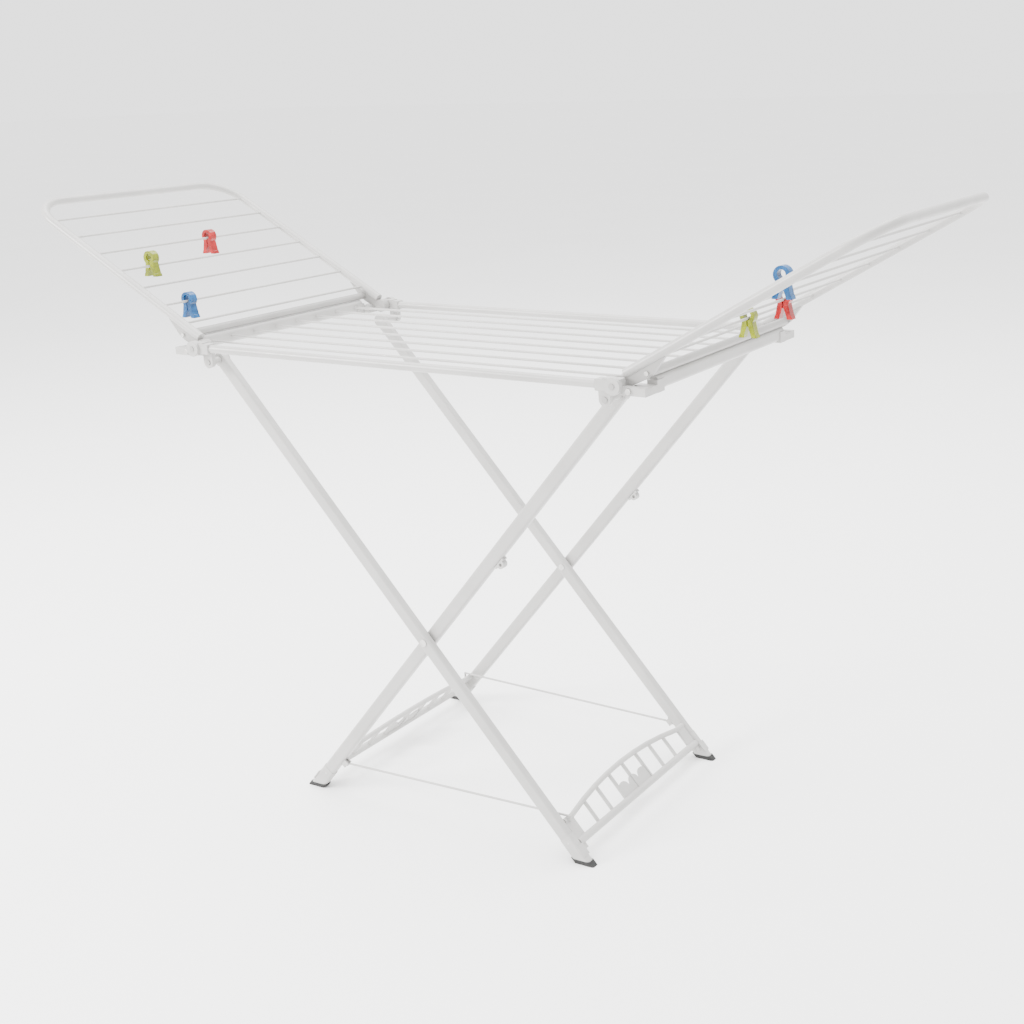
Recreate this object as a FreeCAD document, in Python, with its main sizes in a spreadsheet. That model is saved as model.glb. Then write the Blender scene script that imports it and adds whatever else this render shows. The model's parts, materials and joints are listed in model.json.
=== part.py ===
import FreeCAD, Part
import math
import os

# Winged clothes airer on crossed legs.  Millimetres; X runs from the left wing to the right wing,
# Y from front to back, Z up.  The origin is on the floor under the middle of the rack.

Vector = FreeCAD.Vector
Placement = FreeCAD.Placement
Rotation = FreeCAD.Rotation
Y_AXIS = Vector(0, 1, 0)
Z_AXIS = Vector(0, 0, 1)
X_AXIS = Vector(1, 0, 0)

doc = FreeCAD.newDocument("drying_rack")

# ---------------------------------------------------------------- driving dimensions
DIMENSIONS = [
    ("hinge_half", 450.0, "half distance between the wing hinge axes"),
    ("hinge_height", 870.0, "height of the wing hinge axes and of the top rods"),
    ("foot_half", 318.0, "half distance between the feet at the floor"),
    ("leg_wide", 25.0, "leg section, wide side"),
    ("leg_deep", 15.0, "leg section, along Y"),
    ("leg_round", 5.0, "leg section, corner radius"),
    ("outer_layer", 225.0, "leg centre plane of the outer layer"),
    ("inner_layer", 209.0, "leg centre plane of the inner layer"),
    ("top_tube_dia", 15.0, "side tube of the centre frame"),
    ("top_tube_y", 258.0, "side tube distance from the middle"),
    ("rod_dia", 4.5, "drying rods"),
    ("rod_gap", 56.5, "spacing of the rods in the centre frame"),
    ("wing_dia", 16.0, "wing frame tube"),
    ("wing_y", 241.5, "wing side tube distance from the middle"),
    ("wing_reach", 500.0, "hinge axis to the outer wing tube"),
    ("wing_lift", 10.0, "tube centre line above the line from the hinge axis"),
    ("wing_bend", 70.0, "bend radius of the wing tube"),
    ("wing_pitch", 62.0, "spacing of the wing rods"),
    ("wing_angle", 29.0, "wing above the horizontal at rest"),
    ("member_tall", 25.0, "end cross member, height"),
    ("member_deep", 15.0, "end cross member, thickness"),
    ("member_x", 495.0, "end cross member distance from the middle"),
    ("wire_dia", 4.0, "bottom stays"),
    ("peg_deep", 14.0, "pegs, along the rod"),
]
sheet = doc.addObject("Spreadsheet::Sheet", "Dims")
for row, (alias, value, note) in enumerate(DIMENSIONS, start=1):
    sheet.set("A%d" % row, alias)
    sheet.set("B%d" % row, "%g" % value)
    sheet.setAlias("B%d" % row, alias)
    sheet.set("C%d" % row, note)
doc.recompute()
D = {alias: float(sheet.get(alias)) for alias, value, note in DIMENSIONS}

HINGE_X = D["hinge_half"]
HINGE_Z = D["hinge_height"]
FOOT_X = D["foot_half"]
LEG_RUN = math.hypot(HINGE_X + FOOT_X, HINGE_Z)
LEG_TILT = math.degrees(math.asin((HINGE_X + FOOT_X) / LEG_RUN))
CROSS_S = FOOT_X / math.sin(math.radians(LEG_TILT))
PIVOT_S = LEG_RUN - 34.0
PIVOT_X = PIVOT_S * math.sin(math.radians(LEG_TILT)) - FOOT_X
PIVOT_Z = PIVOT_S * math.cos(math.radians(LEG_TILT))
WIDE = D["leg_wide"]
DEEP = D["leg_deep"]
TURN = Placement(Vector(0, 0, 0), Rotation(Z_AXIS, 180))
STAY = Placement()

# local frames: along a leg of frame A (x = outwards, z = up the leg) and along the right wing
# (x = away from the hinge, z = square to the wing); frame B and the left wing are the same, turned
LEG = Placement(Vector(FOOT_X, 0, 0), Rotation(Y_AXIS, -LEG_TILT))
WING = Placement(Vector(HINGE_X, 0, HINGE_Z), Rotation(Y_AXIS, -D["wing_angle"]))


def at(x, y, z, axis=Z_AXIS, angle=0.0):
    """A placement from a point and one rotation."""
    return Placement(Vector(x, y, z), Rotation(axis, angle))


def bind(item, links):
    for prop, text in links.items():
        item.setExpression(prop, text)
    return item


def box(name, size, centre, frame=STAY, links={}):
    """A box given by its size and its middle, in a local frame."""
    item = doc.addObject("Part::Box", name)
    item.Length, item.Width, item.Height = size
    corner = Vector(centre[0] - size[0] / 2, centre[1] - size[1] / 2, centre[2] - size[2] / 2)
    item.Placement = frame.multiply(Placement(corner, Rotation()))
    return bind(item, links)


def rod(name, radius, start, end, frame=STAY, links={}):
    """A cylinder between two points of a local frame."""
    first = Vector(*start)
    line = Vector(*end).sub(first)
    item = doc.addObject("Part::Cylinder", name)
    item.Radius = radius
    item.Height = line.Length
    item.Placement = frame.multiply(Placement(first, Rotation(Z_AXIS, line)))
    return bind(item, links)


def ball(name, radius, centre, frame=STAY):
    item = doc.addObject("Part::Sphere", name)
    item.Radius = radius
    item.Placement = frame.multiply(Placement(Vector(*centre), Rotation()))
    return item


def fuse(name, shapes):
    item = doc.addObject("Part::MultiFuse", name)
    item.Shapes = shapes
    return item


def cut(name, base, tools):
    """The base with every tool taken away."""
    item = doc.addObject("Part::Cut", name)
    item.Base = base
    item.Tool = tools[0] if len(tools) == 1 else fuse(name + "_tools", tools)
    return item


def group(name, shapes):
    item = doc.addObject("Part::Compound", name)
    item.Links = shapes
    return item


def rounded(name, blank, radius, edges=(1, 3, 5, 7)):
    """Round the four edges of a box that run along its height."""
    item = doc.addObject("Part::Fillet", name)
    item.Base = blank
    item.Edges = [(edge, radius, radius) for edge in edges]
    return item


def prism(name, points, y_low, y_high, frame=STAY):
    """A polygon in the XZ plane of a local frame, extruded along Y."""
    outline = doc.addObject("Part::Polygon", name + "_outline")
    outline.Nodes = [Vector(x, y_low, z) for x, z in points]
    outline.Close = True
    item = doc.addObject("Part::Extrusion", name)
    item.Base = outline
    item.DirMode = "Custom"
    item.Dir = Y_AXIS
    item.LengthFwd = y_high - y_low
    item.Solid = True
    item.Placement = frame
    return item


nodes = {}


def keep(name, item):
    item.Label = name
    nodes[name] = item
    return item


# ---------------------------------------------------------------- crossed legs
LEG_START = 22.0


def leg(name, layer, turn, cross_bore):
    """One straight leg of flat oval tube with a round top end, two bores and a shoe on its foot."""
    frame = turn.multiply(LEG)
    top = PIVOT_S
    blank = box(name + "_blank", (WIDE, DEEP, top - LEG_START), (0, layer, (top + LEG_START) / 2), frame,
                {"Length": "Dims.leg_wide", "Width": "Dims.leg_deep"})
    tube = rounded(name + "_tube", blank, D["leg_round"])
    crown = rod(name + "_crown", WIDE / 2, (0, layer - DEEP / 2, top), (0, layer + DEEP / 2, top),
                frame, {"Radius": "Dims.leg_wide / 2", "Height": "Dims.leg_deep"})
    solid = fuse(name + "_solid", [tube, crown])
    pivot = rod(name + "_pivot_bore", 3.05, (0, layer - 20, top), (0, layer + 20, top), frame)
    cross = rod(name + "_cross_bore", cross_bore, (0, layer - 20, CROSS_S), (0, layer + 20, CROSS_S),
                frame)
    return keep(name, cut(name, solid, [pivot, cross]))


def foot(suffix, layer, turn, leg_node):
    """The white shoe round the foot of a leg, its pin, and the black sole under it."""
    frame = turn.multiply(LEG)
    blank = box("shoe_blank_" + suffix, (27.2, DEEP + 0.8, 88.0), (0, layer, 14.0), frame)
    smooth = rounded("shoe_smooth_" + suffix, blank, 5.2)
    step = box("shoe_step_" + suffix, (2.4, DEEP + 0.8, 22.0), (13.4, layer, 22.0), frame)
    whole = fuse("shoe_whole_" + suffix, [smooth, step])
    floor = box("shoe_floor_" + suffix, (900, 700, 100), (0, 0, -42.0))
    hole = rod("shoe_hole_" + suffix, 2.6, (0, layer - 7.9, 46.0), (0, layer + 7.9, 46.0), frame)
    shoe = cut("shoe_" + suffix, whole, [leg_node, floor, hole])
    keep("shoe_" + suffix, shoe)
    pad_blank = box("sole_blank_" + suffix, (31.0, DEEP + 0.8, 60.0), (0, layer, 2.0), frame)
    pad_smooth = rounded("sole_smooth_" + suffix, pad_blank, 4.0)
    below = box("sole_below_" + suffix, (900, 700, 100), (0, 0, -50.0))
    above = box("sole_above_" + suffix, (900, 700, 100), (0, 0, 58.0))
    keep("sole_" + suffix, cut("sole_" + suffix, pad_smooth, [below, above]))


for letter, turn, bore in (("a", STAY, 4.0), ("b", TURN, 4.05)):
    # in the frame's own turned view its outer leg is at -Y and its inner leg at +Y
    for place, local_y in (("outer", -D["outer_layer"]), ("inner", D["inner_layer"])):
        front = (local_y < 0) == (letter == "a")
        suffix = "%s_%s" % (letter, "front" if front else "rear")
        node = leg("leg_" + suffix, local_y, turn, bore)
        foot(suffix, local_y, turn, node)


def shoe_pins(letter, turn):
    """Small pins that hold the shoes on: one head on each face, clear of the leg's section."""
    frame = turn.multiply(LEG)
    pins = []
    for place, layer in (("outer", -D["outer_layer"]), ("inner", D["inner_layer"])):
        for side in (-1, 1):
            face = layer + side * DEEP / 2
            pins.append(rod("shoe_pin_%s_%s_%d" % (letter, place, side), 2.5, (0, face, 46.0),
                            (0, face + side * 0.35, 46.0), frame))
    return keep("shoe_pins_" + letter, group("shoe_pins_" + letter, pins))


shoe_pins("a", STAY)
shoe_pins("b", TURN)


def cross_rivet(name, turn):
    """The rivet through both legs where they cross; its heads stand on the outer faces."""
    outer = -D["outer_layer"] - DEEP / 2
    inner = -D["inner_layer"] + DEEP / 2
    height = CROSS_S * math.cos(math.radians(LEG_TILT))
    parts = [
        rod(name + "_shank", 4.0, (0, outer - 0.1, height), (0, inner + 0.1, height), turn),
        rod(name + "_head", 7.0, (0, outer - 1.7, height), (0, outer - 0.1, height), turn),
        rod(name + "_tail", 6.5, (0, inner + 0.1, height), (0, inner + 1.4, height), turn),
    ]
    return fuse(name, parts)


keep("crossing_rivets", group("crossing_rivets", [
    cross_rivet("rivet_front", STAY),
    cross_rivet("rivet_rear", TURN),
]))


# ---------------------------------------------------------------- ladders between the feet
LADDER_OUT = 7.0
LADDER_LOW = 36.0
LADDER_END = 80.0
LADDER_ARCH = 20.0
LADDER_Y = (-D["outer_layer"] + DEEP / 2 + 0.4, D["inner_layer"] - DEEP / 2 - 0.4)
LADDER_MID = sum(LADDER_Y) / 2
LADDER_PLATE = 24.0


def arch(y):
    """Height of the upper ladder bar along the leg; level over the end plates, arched between."""
    half = (LADDER_Y[1] - LADDER_Y[0]) / 2 - LADDER_PLATE
    across = abs(y - LADDER_MID) / half
    if across >= 1.0:
        return LADDER_END
    return LADDER_END + LADDER_ARCH * (1 - across * across)


def ladder(name, turn):
    frame = turn.multiply(LEG)
    low_y, high_y = LADDER_Y
    shapes = [rod(name + "_low", 7.0, (LADDER_OUT, low_y, LADDER_LOW), (LADDER_OUT, high_y, LADDER_LOW),
                  frame)]
    stations = [low_y]
    count = 8
    for step in range(count + 1):
        stations.append(low_y + LADDER_PLATE + step * (high_y - low_y - 2 * LADDER_PLATE) / count)
    stations.append(high_y)
    for index in range(len(stations) - 1):
        first, second = stations[index], stations[index + 1]
        shapes.append(rod("%s_arch_%d" % (name, index), 5.0, (LADDER_OUT, first, arch(first)),
                          (LADDER_OUT, second, arch(second)), frame))
        if index:
            shapes.append(ball("%s_knee_%d" % (name, index), 5.0, (LADDER_OUT, first, arch(first)), frame))
    for index in range(1, count):
        y = stations[1] + index * (stations[-2] - stations[1]) / count
        tall = arch(y) - LADDER_LOW
        shapes.append(box("%s_strut_%d" % (name, index), (6.0, 4.0, tall),
                          (LADDER_OUT, y, LADDER_LOW + tall / 2), frame))
    for end, inward in ((low_y, 1), (high_y, -1)):
        tall = LADDER_END - LADDER_LOW
        middle = end + inward * LADDER_PLATE / 2
        shapes.append(box("%s_plate_%d" % (name, inward), (5.0, LADDER_PLATE, tall),
                          (LADDER_OUT, middle, LADDER_LOW + tall / 2), frame))
        shapes.append(box("%s_tab_%d" % (name, inward), (5.0, 12.0, 16.0),
                          (LADDER_OUT, end + inward * 6.0, LADDER_LOW - 8.0), frame))
    shapes.append(box(name + "_panel", (3.0, 92.0, 22.0), (LADDER_OUT, LADDER_MID, LADDER_LOW + 11.0),
                      frame))
    for index, offset in enumerate((-32.0, 0.0, 32.0)):
        y = LADDER_MID + offset
        shapes.append(rod("%s_wave_%d" % (name, index), 14.0, (LADDER_OUT - 1.5, y, LADDER_LOW + 20.0),
                          (LADDER_OUT + 1.5, y, LADDER_LOW + 20.0), frame))
    return keep(name, fuse(name, shapes))


ladder("ladder_a", STAY)
ladder("ladder_b", TURN)


# ---------------------------------------------------------------- bottom stays
# each stay turns on a lug on the inner edge of one leg and hooks over the end of the other
# frame's ladder; the front one belongs to frame B, the rear one to frame A, turned half round;
# the bent hook is a part of its own, so that the space under it stays open
STAY_S = 100.0
STAY_OUT = 18.0
B_LEG = Placement(Vector(-FOOT_X, 0, 0), Rotation(Y_AXIS, LEG_TILT))
STAY_PIN = B_LEG.multVec(Vector(STAY_OUT, -D["inner_layer"], STAY_S))
LADDER_BAR = LEG.multVec(Vector(LADDER_OUT, 0, LADDER_END))
HOOK_X = LADDER_BAR.x + 8.6
HOOK_Z = LADDER_BAR.z + 9.3
HOOK_DROP = 10.3


def stay(name, turn):
    """A straight wire with an eye at one end, and the bent hook at its other end."""
    y = -D["inner_layer"]
    wire = D["wire_dia"] / 2
    line = Vector(HOOK_X - STAY_PIN.x, 0, HOOK_Z - STAY_PIN.z)
    line.normalize()
    start = (STAY_PIN.x + 3.0 * line.x, y, STAY_PIN.z + 3.0 * line.z)
    eye = rod(name + "_eye", 4.2, (STAY_PIN.x, y - 2.3, STAY_PIN.z), (STAY_PIN.x, y + 2.3, STAY_PIN.z),
              turn)
    run = rod(name + "_run", wire, start, (HOOK_X, y, HOOK_Z), turn, {"Radius": "Dims.wire_dia / 2"})
    whole = fuse(name + "_whole", [eye, run])
    bore = rod(name + "_bore", 1.55, (STAY_PIN.x, y - 5, STAY_PIN.z), (STAY_PIN.x, y + 5, STAY_PIN.z),
               turn)
    keep(name, cut(name, whole, [bore]))
    knee = ball(name + "_knee", wire + 0.2, (HOOK_X, y, HOOK_Z), turn)
    drop = rod(name + "_drop", wire, (HOOK_X, y, HOOK_Z), (HOOK_X, y, HOOK_Z - HOOK_DROP), turn)
    end = fuse(name + "_end", [knee, drop])
    keep(name + "_hook", cut(name + "_hook", end, [run]))


def lug(name, turn):
    """Two cheeks on the leg's edge with the stay's pin across them."""
    frame = turn.multiply(B_LEG)
    y = -D["inner_layer"]
    shapes = [box(name + "_base", (1.0, 10.2, 18.0), (WIDE / 2 + 0.5, y, STAY_S), frame)]
    for side in (-1, 1):
        shapes.append(box("%s_cheek_%d" % (name, side), (10.0, 2.4, 14.0),
                          (WIDE / 2 + 5.0, y + side * 3.9, STAY_S), frame))
    shapes.append(rod(name + "_pin", 1.5, (STAY_OUT, y - 4.0, STAY_S), (STAY_OUT, y + 4.0, STAY_S), frame))
    return keep(name, fuse(name, shapes))


stay("front_stay", STAY)
stay("rear_stay", TURN)
lug("front_stay_lug", STAY)
lug("rear_stay_lug", TURN)


# ---------------------------------------------------------------- round clips on frame B's legs
CLIP_S = 716.0


def leg_clip(name, layer):
    """A small round moulded clip on the lower edge of a leg of frame B."""
    disc = rod(name + "_disc", 8.0, (17.0, layer - 5.5, CLIP_S), (17.0, layer + 5.5, CLIP_S), B_LEG)
    saddle = box(name + "_saddle", (4.0, 11.0, 26.0), (WIDE / 2 + 2.0, layer, CLIP_S), B_LEG)
    whole = fuse(name + "_whole", [disc, saddle])
    hole = rod(name + "_hole", 3.0, (18.0, layer - 8, CLIP_S), (18.0, layer + 8, CLIP_S), B_LEG)
    edge = box(name + "_edge", (WIDE, DEEP, 60.0), (0, layer, CLIP_S), B_LEG)
    return cut(name, whole, [hole, edge])


keep("leg_clips", group("leg_clips", [
    leg_clip("leg_clip_front", -D["inner_layer"]),
    leg_clip("leg_clip_rear", D["outer_layer"]),
]))


# ---------------------------------------------------------------- centre frame
ROD_R = D["rod_dia"] / 2
MEMBER_X = D["member_x"]
MEMBER_Z = 869.5
MEMBER_HALF_Y = 222.0
ROD_END = MEMBER_X - D["member_deep"] / 2


def oval(name, x, half_y, grow=0.0):
    """A flat oval bar along Y."""
    deep = D["member_deep"] + 2 * grow
    tall = D["member_tall"] + 2 * grow
    flat = tall - deep
    middle = box(name + "_flat", (deep, 2 * half_y, flat), (x, 0, MEMBER_Z))
    low = rod(name + "_low", deep / 2, (x, -half_y, MEMBER_Z - flat / 2), (x, half_y, MEMBER_Z - flat / 2))
    high = rod(name + "_high", deep / 2, (x, -half_y, MEMBER_Z + flat / 2), (x, half_y, MEMBER_Z + flat / 2))
    return fuse(name, [middle, low, high])


keep("cross_member_left", oval("cross_member_left", -MEMBER_X, MEMBER_HALF_Y))
keep("cross_member_right", oval("cross_member_right", MEMBER_X, MEMBER_HALF_Y))

top_rods = []
for index in range(8):
    y = (index - 3.5) * D["rod_gap"]
    top_rods.append(rod("top_rod_%d" % index, ROD_R, (-ROD_END, y, HINGE_Z), (ROD_END, y, HINGE_Z),
                        STAY, {"Radius": "Dims.rod_dia / 2"}))
keep("top_rods", group("top_rods", top_rods))

TUBE_END = 434.0
TUBE_R = D["top_tube_dia"] / 2
for side, sign in (("front", -1), ("rear", 1)):
    y = sign * D["top_tube_y"]
    keep("top_tube_" + side, rod("top_tube_" + side, TUBE_R, (-TUBE_END, y, HINGE_Z), (TUBE_END, y, HINGE_Z),
                                 STAY, {"Radius": "Dims.top_tube_dia / 2"}))


def sided_box(name, xs, ys, zs, sx, sy):
    """A box from ranges measured outwards from the middle, on the side given by two signs."""
    size = (xs[1] - xs[0], ys[1] - ys[0], zs[1] - zs[0])
    centre = (sx * (xs[0] + xs[1]) / 2, sy * (ys[0] + ys[1]) / 2, (zs[0] + zs[1]) / 2)
    return box(name, size, centre)


def sided_rod(name, radius, x, ys, z, sx, sy):
    """A cylinder along Y, measured outwards from the middle."""
    return rod(name, radius, (sx * x, sy * ys[0], z), (sx * x, sy * ys[1], z))


def corner(name, sx, sy, boss_to):
    """The moulded corner: disc, tube socket, elbow, cradle for the end member, leg ear and boss."""
    socket = rounded(name + "_socket", sided_box(name + "_socket_blank", (416.0, 440.0), (249.8, 267.4),
                                                (860.6, 879.4), sx, sy), 2.0, (2, 4, 6, 8))
    shapes = [
        sided_rod(name + "_disc", 14.0, HINGE_X, (262.0, 272.0), HINGE_Z, sx, sy),
        socket,
        sided_box(name + "_block", (430.0, 462.0), (250.0, 266.0), (858.0, 881.0), sx, sy),
        sided_box(name + "_arm", (458.0, 504.3), (250.0, 262.0), (855.5, 869.0), sx, sy),
        sided_box(name + "_elbow", (472.0, 504.3), (224.0, 251.0), (855.5, 868.0), sx, sy),
        sided_box(name + "_cradle", (485.7, 504.3), (205.0, 226.0), (855.0, 875.0), sx, sy),
        sided_box(name + "_ear", (416.5, 438.5), (250.0, 258.0), (PIVOT_Z, 862.0), sx, sy),
        sided_rod(name + "_ear_end", 11.0, PIVOT_X, (250.0, 258.0), PIVOT_Z, sx, sy),
        sided_rod(name + "_boss", 6.5, PIVOT_X, (boss_to, 252.0), PIVOT_Z, sx, sy),
    ]
    whole = fuse(name + "_whole", shapes)
    tools = [
        rod(name + "_tube_bore", TUBE_R, (sx * 390.0, sy * 258.0, HINGE_Z), (sx * TUBE_END, sy * 258.0, HINGE_Z)),
        sided_rod(name + "_hinge_bore", 4.0, HINGE_X, (240.0, 280.0), HINGE_Z, sx, sy),
        sided_rod(name + "_pivot_bore", 3.0, PIVOT_X, (190.0, 280.0), PIVOT_Z, sx, sy),
        sided_rod(name + "_bolt_bore", 2.5, 474.0, (250.0, 280.0), 862.5, sx, sy),
        oval(name + "_member_bore", sx * MEMBER_X, MEMBER_HALF_Y),
    ]
    return keep(name, cut(name, whole, tools))


OUTER_FACE = D["outer_layer"] + DEEP / 2 + 0.3
INNER_FACE = D["inner_layer"] + DEEP / 2 + 0.3
CORNERS = [
    ("corner_front_left", -1, -1, OUTER_FACE),
    ("corner_front_right", 1, -1, INNER_FACE),
    ("corner_rear_left", -1, 1, INNER_FACE),
    ("corner_rear_right", 1, 1, OUTER_FACE),
]
hinge_pins = []
corner_bolts = []
leg_pins = []
for name, sx, sy, boss_to in CORNERS:
    corner(name, sx, sy, boss_to)
    hinge_pins.append(fuse(name + "_hinge_pin", [
        sided_rod(name + "_hinge_shank", 4.0, HINGE_X, (233.5, 272.0), HINGE_Z, sx, sy),
        sided_rod(name + "_hinge_head", 4.8, HINGE_X, (272.0, 273.4), HINGE_Z, sx, sy),
    ]))
    corner_bolts.append(fuse(name + "_bolt", [
        sided_rod(name + "_bolt_shank", 2.5, 474.0, (250.0, 262.0), 862.5, sx, sy),
        sided_rod(name + "_bolt_head", 4.6, 474.0, (262.0, 265.4), 862.5, sx, sy),
    ]))
    # the left pins run on through the legs of frame A; the right ones end flush with their bosses,
    # short of frame B's legs
    reach = boss_to
    if sx < 0:
        reach = boss_to - 0.3 - DEEP
    leg_pins.append(fuse(name + "_leg_pin", [
        sided_rod(name + "_leg_shank", 3.0, PIVOT_X, (reach, 258.0), PIVOT_Z, sx, sy),
        sided_rod(name + "_leg_head", 5.0, PIVOT_X, (258.0, 259.6), PIVOT_Z, sx, sy),
    ]))
keep("hinge_pins", group("hinge_pins", hinge_pins))
keep("corner_bolts", group("corner_bolts", corner_bolts))
keep("leg_pivot_pins", group("leg_pivot_pins", leg_pins))


# ---------------------------------------------------------------- wings
LIFT = D["wing_lift"]
WING_R = D["wing_dia"] / 2
REACH = D["wing_reach"]
BEND = D["wing_bend"]
STOP_T = 51.2
STOP_N = -6.65


def wing(side, turn):
    frame = turn.multiply(WING)
    name = "wing_tube_" + side
    straight_end = REACH - BEND
    straight_y = D["wing_y"] - BEND
    shapes = [rod(name + "_outer", WING_R, (REACH, -straight_y, LIFT), (REACH, straight_y, LIFT), frame,
                  {"Radius": "Dims.wing_dia / 2"})]
    for sign in (-1, 1):
        shapes.append(rod("%s_side_%d" % (name, sign), WING_R, (14.0, sign * D["wing_y"], LIFT),
                          (straight_end, sign * D["wing_y"], LIFT), frame, {"Radius": "Dims.wing_dia / 2"}))
        bend = doc.addObject("Part::Torus", "%s_bend_%d" % (name, sign))
        bend.Radius1 = BEND
        bend.Radius2 = WING_R
        bend.Angle3 = 90
        start = 0 if sign > 0 else -90
        bend.Placement = frame.multiply(at(straight_end, sign * straight_y, LIFT, Z_AXIS, start))
        bind(bend, {"Radius1": "Dims.wing_bend", "Radius2": "Dims.wing_dia / 2"})
        shapes.append(bend)
    keep(name, fuse(name, shapes))

    rods = []
    for count in range(1, 8):
        half = D["wing_y"] - WING_R - (0.2 if count == 7 else 0.0)
        along = D["wing_pitch"] * count
        rods.append(rod("wing_rod_%s_%d" % (side, count), ROD_R, (along, -half, LIFT), (along, half, LIFT),
                        frame, {"Radius": "Dims.rod_dia / 2"}))
    keep("wing_rods_" + side, group("wing_rods_" + side, rods))

    brackets = []
    bolts = []
    for sign in (-1, 1):
        tag = "bracket_%s_%d" % (side, sign)
        inner, outer = sorted((sign * 237.5, sign * 245.5))
        hub_low, hub_high = sorted((sign * 233.6, sign * 249.5))
        hub = rod(tag + "_hub", 13.0, (0, hub_low, 0), (0, hub_high, 0), frame)
        outline = [(2, -11), (44, -14), (60, -12), (93, 2), (93, 6), (10, 6), (2, 10)]
        gusset = prism(tag + "_gusset", outline, inner, outer, frame)
        whole = fuse(tag + "_whole", [hub, gusset])
        tools = [
            rod(tag + "_pin_bore", 4.05, (0, hub_low - 5, 0), (0, hub_high + 5, 0), frame),
            rod(tag + "_tube_seat", WING_R, (14.0, sign * D["wing_y"], LIFT), (120.0, sign * D["wing_y"], LIFT),
                frame),
            rod(tag + "_bolt_bore", 2.0, (STOP_T, sign * 230.0, STOP_N), (STOP_T, sign * 260.0, STOP_N), frame),
        ]
        brackets.append(cut(tag, whole, tools))
        bolts.append(fuse(tag + "_bolt", [
            rod(tag + "_bolt_shank", 2.0, (STOP_T, sign * 237.5, STOP_N), (STOP_T, sign * 245.5, STOP_N), frame),
            rod(tag + "_bolt_head", 3.6, (STOP_T, sign * 245.5, STOP_N), (STOP_T, sign * 248.3, STOP_N), frame),
        ]))
    keep("wing_brackets_" + side, group("wing_brackets_" + side, brackets))
    keep("bracket_bolts_" + side, group("bracket_bolts_" + side, bolts))
    keep("stop_bar_" + side, rod("stop_bar_" + side, 7.0, (STOP_T, -237.5, STOP_N), (STOP_T, 237.5, STOP_N),
                                 frame))


wing("right", STAY)
wing("left", TURN)


# ---------------------------------------------------------------- pegs
def taper(name, low, high, z_low, z_high, deep, frame):
    """A wedge with half width low at the bottom and high at the top, centred along Y."""
    points = [(-low, z_low), (low, z_low), (high, z_high), (-high, z_high)]
    return prism(name, points, -deep / 2, deep / 2, frame)


def peg(name, side, count, y, drop):
    """A one-piece looped peg hanging upright on a wing rod; drop sets how far it hangs below it."""
    sign = 1 if side == "right" else -1
    spot = WING.multVec(Vector(D["wing_pitch"] * count, 0, LIFT))
    frame = at(sign * spot.x, y, spot.z - drop)
    deep = D["peg_deep"]
    shapes = [
        rod(name + "_loop", 13.5, (0, -deep / 2, 15.5), (0, deep / 2, 15.5), frame),
        taper(name + "_legs", 15.0, 9.0, -20.0, 8.0, deep, frame),
        prism(name + "_foot", [(-16.5, -20), (16.5, -20), (14.5, -14), (-14.5, -14)], -deep / 2, deep / 2, frame),
    ]
    whole = fuse(name + "_whole", shapes)
    tools = [
        rod(name + "_eye", 6.9, (0, -deep, 16.5), (0, deep, 16.5), frame),
        taper(name + "_slot", 7.5, 1.4, -20.5, -2.0, 2 * deep, frame),
        prism(name + "_slit", [(-1.0, -3), (1.0, -3), (1.0, 11), (-1.0, 11)], -deep, deep, frame),
        rod(name + "_seat", ROD_R + 0.05, (0, -deep, drop), (0, deep, drop), frame),
    ]
    return keep(name, cut(name, whole, tools))


PEGS = [
    ("peg_lime_left", "left", 4, -158.0, 0.0),
    ("peg_red_left", "left", 5, 38.0, 12.0),
    ("peg_blue_left", "left", 2, -174.0, 12.0),
    ("peg_blue_right", "right", 5, -216.0, 0.0),
    ("peg_red_right", "right", 3, 10.0, 12.0),
    ("peg_lime_right", "right", 2, -12.0, 12.0),
]
for name, side, count, y, drop in PEGS:
    peg(name, side, count, y, drop)


# ---------------------------------------------------------------- check and write
doc.recompute()
for item in doc.Objects:
    for word in ("Invalid", "Error"):
        if word in item.State:
            raise RuntimeError("%s is %s" % (item.Name, item.State))
os.makedirs("parts", exist_ok=True)
for name, item in nodes.items():
    shape = item.Shape
    if shape.isNull() or not shape.isValid() or not shape.Solids:
        raise RuntimeError("no good solid in " + name)
    shape.exportStep("parts/%s.step" % name)
print("wrote", len(nodes), "nodes")
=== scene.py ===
import json
import math

import bpy
from mathutils import Matrix, Vector

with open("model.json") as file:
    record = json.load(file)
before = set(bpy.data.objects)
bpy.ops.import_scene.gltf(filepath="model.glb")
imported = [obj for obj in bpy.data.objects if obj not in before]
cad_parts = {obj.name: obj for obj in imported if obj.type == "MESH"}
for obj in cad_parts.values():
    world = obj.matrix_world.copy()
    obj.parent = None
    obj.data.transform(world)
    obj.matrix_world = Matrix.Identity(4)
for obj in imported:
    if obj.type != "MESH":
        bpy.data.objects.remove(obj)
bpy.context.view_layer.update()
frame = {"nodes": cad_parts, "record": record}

# ------------------------------------------------------------------ camera
# the same three-quarter view as the photograph: from the right and a little above
CAMERA_PLACE = Vector((1.6065, -2.0515, 1.3310))
CAMERA_YAW = math.radians(28.8)
CAMERA_PITCH = math.radians(14.4)
CAMERA_ROLL = math.radians(-1.8)
CAMERA_LENS = 50.1
CAMERA_SHIFT = (-0.199, -0.074)

camera_data = bpy.data.cameras.new("camera")
camera_data.lens = CAMERA_LENS
camera_data.sensor_width = 36.0
camera_data.shift_x, camera_data.shift_y = CAMERA_SHIFT
camera = bpy.data.objects.new("camera", camera_data)
bpy.context.scene.collection.objects.link(camera)
camera.location = CAMERA_PLACE
camera.rotation_euler = (Matrix.Rotation(CAMERA_YAW, 3, "Z")
                         @ Matrix.Rotation(math.radians(90.0) - CAMERA_PITCH, 3, "X")
                         @ Matrix.Rotation(CAMERA_ROLL, 3, "Z")).to_euler()
bpy.context.scene.camera = camera


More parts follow.
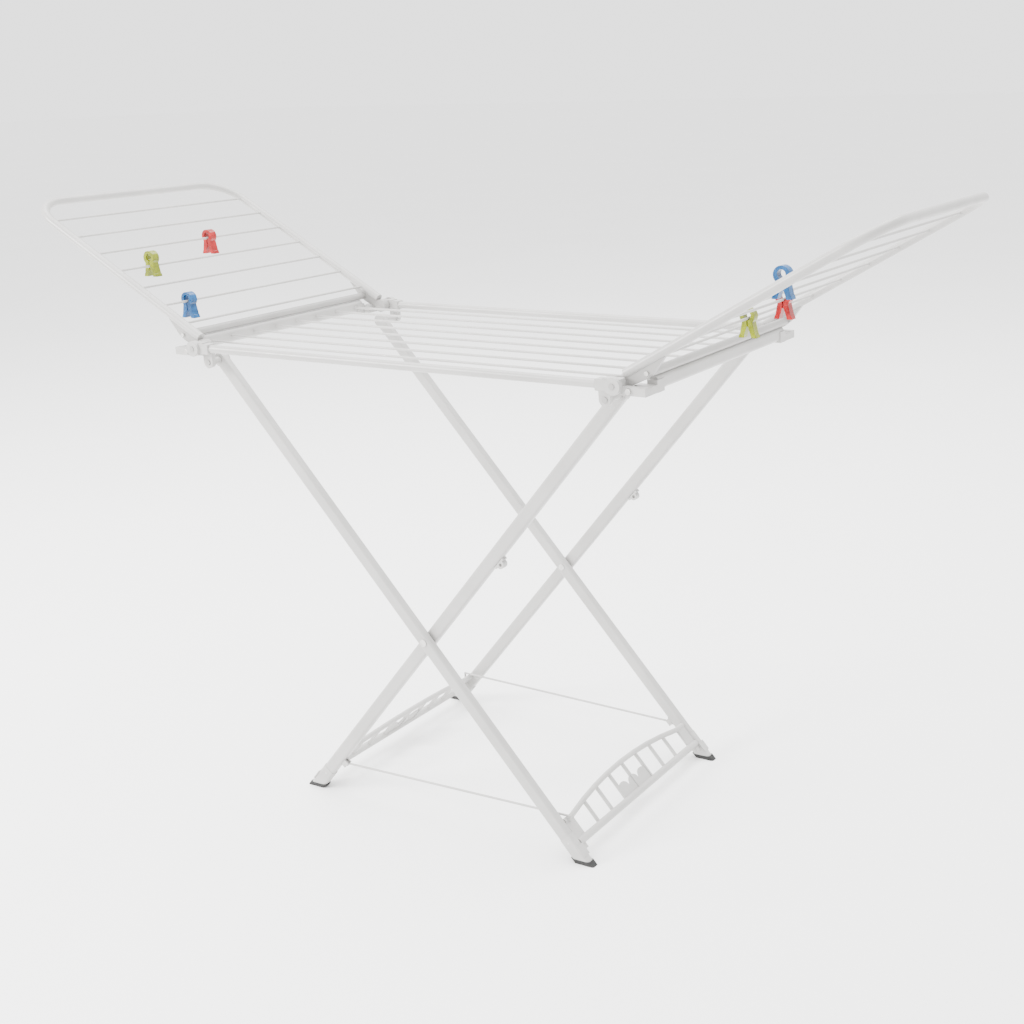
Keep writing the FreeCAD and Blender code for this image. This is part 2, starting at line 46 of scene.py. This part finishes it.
# ------------------------------------------------------------------ materials
SMALL_EDGE = 0.0005
SOFT_EDGE = 0.0009
WEAR_SHARE = 0.18
WORN_COLOUR = (0.60, 0.585, 0.56, 1.0)
GRIME_SHARE = 0.12
GRIME_SHADE = 0.78
MOULD_GRAIN = 1500.0


class Nodes:
    """A short way to build a material's node tree."""

    def __init__(self, name):
        self.material = bpy.data.materials.new(name)
        self.material.use_nodes = True
        self.tree = self.material.node_tree
        self.shader = self.tree.nodes["Principled BSDF"]
        self.place = self.add("ShaderNodeTexCoord").outputs["Object"]

    def add(self, kind, **settings):
        node = self.tree.nodes.new(kind)
        for key, value in settings.items():
            setattr(node, key, value)
        return node

    def link(self, source, target):
        self.tree.links.new(source, target)

    def noise(self, scale, detail=4.0, rough=0.55, stretch=None):
        source = self.place
        if stretch is not None:
            mapping = self.add("ShaderNodeMapping")
            mapping.inputs["Scale"].default_value = stretch
            self.link(self.place, mapping.inputs["Vector"])
            source = mapping.outputs["Vector"]
        node = self.add("ShaderNodeTexNoise")
        node.inputs["Scale"].default_value = scale
        node.inputs["Detail"].default_value = detail
        node.inputs["Roughness"].default_value = rough
        self.link(source, node.inputs["Vector"])
        return node.outputs["Fac"]

    def spread(self, value, low, high, start=0.35, end=0.65):
        node = self.add("ShaderNodeMapRange")
        node.inputs["From Min"].default_value = start
        node.inputs["From Max"].default_value = end
        node.inputs["To Min"].default_value = low
        node.inputs["To Max"].default_value = high
        self.link(value, node.inputs["Value"])
        return node.outputs["Result"]

    def mix(self, factor, first, second):
        node = self.add("ShaderNodeMix", data_type="RGBA")
        for socket, value in ((node.inputs[6], first), (node.inputs[7], second)):
            if isinstance(value, tuple):
                socket.default_value = value
            else:
                self.link(value, socket)
        if isinstance(factor, float):
            node.inputs[0].default_value = factor
        else:
            self.link(factor, node.inputs[0])
        return node.outputs[2]

    def edges(self, width):
        """Near 1 at sharp edges and in corners, 0 on flat faces."""
        bevel = self.add("ShaderNodeBevel", samples=4)
        bevel.inputs["Radius"].default_value = width
        geometry = self.add("ShaderNodeNewGeometry")
        dot = self.add("ShaderNodeVectorMath", operation="DOT_PRODUCT")
        self.link(bevel.outputs["Normal"], dot.inputs[0])
        self.link(geometry.outputs["Normal"], dot.inputs[1])
        return self.spread(dot.outputs["Value"], 1.0, 0.0, 0.80, 0.995)

    def bump(self, height, strength, distance, soften=0.0):
        node = self.add("ShaderNodeBump")
        node.inputs["Strength"].default_value = strength
        node.inputs["Distance"].default_value = distance
        self.link(height, node.inputs["Height"])
        if soften:
            bevel = self.add("ShaderNodeBevel", samples=4)
            bevel.inputs["Radius"].default_value = soften
            self.link(bevel.outputs["Normal"], node.inputs["Normal"])
        self.link(node.outputs["Normal"], self.shader.inputs["Normal"])


def powder_coat(name, light, shade, rough, soften):
    """Powder coated steel: a faint orange peel, slow shifts of tone and a worn, greyer edge."""
    n = Nodes(name)
    tone = n.spread(n.noise(9.0, 3.0), 0.0, 1.0)
    colour = n.mix(tone, light, shade)
    specks = n.spread(n.noise(420.0, 2.0), 0.0, 0.10, 0.60, 0.78)
    colour = n.mix(specks, colour, (0.62, 0.60, 0.57, 1.0))
    worn = n.add("ShaderNodeMath", operation="MULTIPLY")
    n.link(n.edges(0.0008), worn.inputs[0])
    worn.inputs[1].default_value = WEAR_SHARE
    colour = n.mix(worn.outputs["Value"], colour, WORN_COLOUR)
    n.link(colour, n.shader.inputs["Base Color"])
    n.link(n.spread(n.noise(60.0), rough - 0.05, rough + 0.08), n.shader.inputs["Roughness"])
    n.shader.inputs["Coat Weight"].default_value = 0.18
    n.shader.inputs["Coat Roughness"].default_value = 0.25
    n.bump(n.noise(900.0, 3.0), 0.18, 0.00012, soften)
    return n.material


def moulded(name, light, shade, rough):
    """Injection moulded plastic: fine spark-eroded grain, slight flow marks and softened edges."""
    n = Nodes(name)
    flow = n.spread(n.noise(14.0, 5.0, 0.6, (1.0, 1.0, 3.5)), 0.0, 1.0)
    colour = n.mix(flow, light, shade)
    grime = n.add("ShaderNodeMath", operation="MULTIPLY")
    n.link(n.edges(0.0012), grime.inputs[0])
    grime.inputs[1].default_value = GRIME_SHARE
    dirty = tuple(GRIME_SHADE * value for value in shade[:3]) + (1.0,)
    colour = n.mix(grime.outputs["Value"], colour, dirty)
    n.link(colour, n.shader.inputs["Base Color"])
    n.link(n.spread(n.noise(85.0), rough - 0.06, rough + 0.07), n.shader.inputs["Roughness"])
    n.shader.inputs["Subsurface Weight"].default_value = 0.05
    n.shader.inputs["Subsurface Radius"].default_value = (0.004, 0.004, 0.004)
    n.bump(n.noise(MOULD_GRAIN, 2.0), 0.22, 0.0001, SOFT_EDGE)
    return n.material


def plated(name):
    """Zinc plated steel: brushed in fine lines with dull blotches."""
    n = Nodes(name)
    blotch = n.spread(n.noise(160.0, 4.0), 0.0, 1.0)
    colour = n.mix(blotch, (0.66, 0.65, 0.63, 1.0), (0.48, 0.47, 0.45, 1.0))
    n.link(colour, n.shader.inputs["Base Color"])
    n.shader.inputs["Metallic"].default_value = 0.9
    n.link(n.spread(n.noise(260.0, 3.0), 0.28, 0.46), n.shader.inputs["Roughness"])
    n.bump(n.noise(2400.0, 2.0, 0.5, (1.0, 0.1, 1.0)), 0.25, 0.00006, SMALL_EDGE)
    return n.material


def sole_rubber(name):
    """Black moulded rubber, dull, with dust in its grain."""
    n = Nodes(name)
    dust = n.spread(n.noise(130.0, 5.0), 0.0, 0.35, 0.45, 0.75)
    colour = n.mix(dust, (0.012, 0.012, 0.012, 1.0), (0.06, 0.058, 0.054, 1.0))
    n.link(colour, n.shader.inputs["Base Color"])
    n.link(n.spread(n.noise(90.0), 0.62, 0.82), n.shader.inputs["Roughness"])
    n.bump(n.noise(1800.0, 3.0), 0.4, 0.00015, 0.0008)
    return n.material


def clear_plastic(name, bright, deep):
    """Translucent coloured plastic: a little light comes through, with clouding and soft scuffs."""
    n = Nodes(name)
    cloud = n.spread(n.noise(70.0, 4.0), 0.0, 1.0)
    n.link(n.mix(cloud, bright, deep), n.shader.inputs["Base Color"])
    n.shader.inputs["Transmission Weight"].default_value = 0.22
    n.shader.inputs["IOR"].default_value = 1.46
    n.shader.inputs["Subsurface Weight"].default_value = 0.12
    n.shader.inputs["Subsurface Radius"].default_value = (0.006, 0.006, 0.006)
    scuff = n.noise(240.0, 5.0, 0.6, (1.0, 4.0, 1.0))
    n.link(n.spread(scuff, 0.10, 0.30), n.shader.inputs["Roughness"])
    n.bump(n.noise(500.0, 3.0), 0.15, 0.00012, 0.0012)
    return n.material


# each finish has a lighter tone and a shade of it, which its noise moves between
MATERIALS = {
    "coated_steel": powder_coat(
        "coated_steel", (0.42, 0.412, 0.40, 1), (0.375, 0.368, 0.356, 1), 0.36, SMALL_EDGE),
    "bracket": powder_coat(
        "bracket", (0.34, 0.333, 0.322, 1), (0.30, 0.294, 0.284, 1), 0.40, SOFT_EDGE),
    "moulding": moulded("moulding", (0.44, 0.432, 0.42, 1), (0.395, 0.388, 0.376, 1), 0.42),
    "hardware": plated("hardware"),
    "sole": sole_rubber("sole"),
    "lime_peg": clear_plastic("lime_peg", (0.30, 0.34, 0.002, 1), (0.17, 0.20, 0.001, 1)),
    "red_peg": clear_plastic("red_peg", (0.48, 0.004, 0.006, 1), (0.24, 0.001, 0.002, 1)),
    "blue_peg": clear_plastic("blue_peg", (0.001, 0.12, 0.34, 1), (0.001, 0.06, 0.19, 1)),
}

slots = {entry["node"]: entry["material_slot"] for entry in frame["record"]["subparts"]}
for name, item in frame["nodes"].items():
    material = MATERIALS[slots[name]]
    if not item.material_slots:
        item.data.materials.append(material)
    for place in item.material_slots:
        place.link = "OBJECT"
        place.material = material


# ------------------------------------------------------------------ floor, light and world
FLOOR_HALF = 60.0
FLOOR_CELLS = 24
WORLD_STRENGTH = 2.4
# name, place, the point it is aimed at, size, watts, colour
LIGHTS = (
    ("key", (-3.2, -3.0, 2.6), (0, 0, 0.5), (1.6, 1.4), 380.0, (1.0, 0.99, 0.975)),
    ("top", (-0.4, 0.6, 4.6), (0, 0, 0.2), (5.0, 5.0), 600.0, (1.0, 1.0, 1.0)),
)


def pale_floor():
    """A wide flat pale floor that runs on past the view, so that it meets the white world softly."""
    row_length = FLOOR_CELLS + 1
    points = []
    for row in range(row_length):
        for column in range(row_length):
            x = FLOOR_HALF * (2 * column / FLOOR_CELLS - 1)
            y = FLOOR_HALF * (2 * row / FLOOR_CELLS - 1)
            points.append((x, y, 0.0))
    faces = []
    for row in range(FLOOR_CELLS):
        for column in range(FLOOR_CELLS):
            first = row * row_length + column
            faces.append((first, first + 1, first + row_length + 1, first + row_length))
    mesh = bpy.data.meshes.new("floor")
    mesh.from_pydata(points, [], faces)
    floor = bpy.data.objects.new("floor", mesh)
    bpy.context.scene.collection.objects.link(floor)
    n = Nodes("floor")
    cloud = n.spread(n.noise(1.2, 3.0), 0.0, 1.0)
    n.link(n.mix(cloud, (0.98, 0.98, 0.978, 1), (0.965, 0.965, 0.962, 1)), n.shader.inputs["Base Color"])
    n.shader.inputs["Roughness"].default_value = 0.85
    n.bump(n.noise(300.0, 3.0), 0.05, 0.0002)
    floor.data.materials.append(n.material)


def area_light(name, place, target, size, power, colour):
    """A soft rectangular lamp at a place, turned to face a point."""
    data = bpy.data.lights.new(name, "AREA")
    data.shape = "RECTANGLE"
    data.size, data.size_y = size
    data.energy = power
    data.color = colour
    light = bpy.data.objects.new(name, data)
    bpy.context.scene.collection.objects.link(light)
    light.location = place
    light.rotation_euler = (Vector(target) - Vector(place)).to_track_quat("-Z", "Y").to_euler()


pale_floor()
for row in LIGHTS:
    area_light(*row)

world = bpy.context.scene.world or bpy.data.worlds.new("world")
bpy.context.scene.world = world
world.use_nodes = True
background = world.node_tree.nodes["Background"]
background.inputs["Color"].default_value = (1.0, 1.0, 1.0, 1.0)
background.inputs["Strength"].default_value = WORLD_STRENGTH
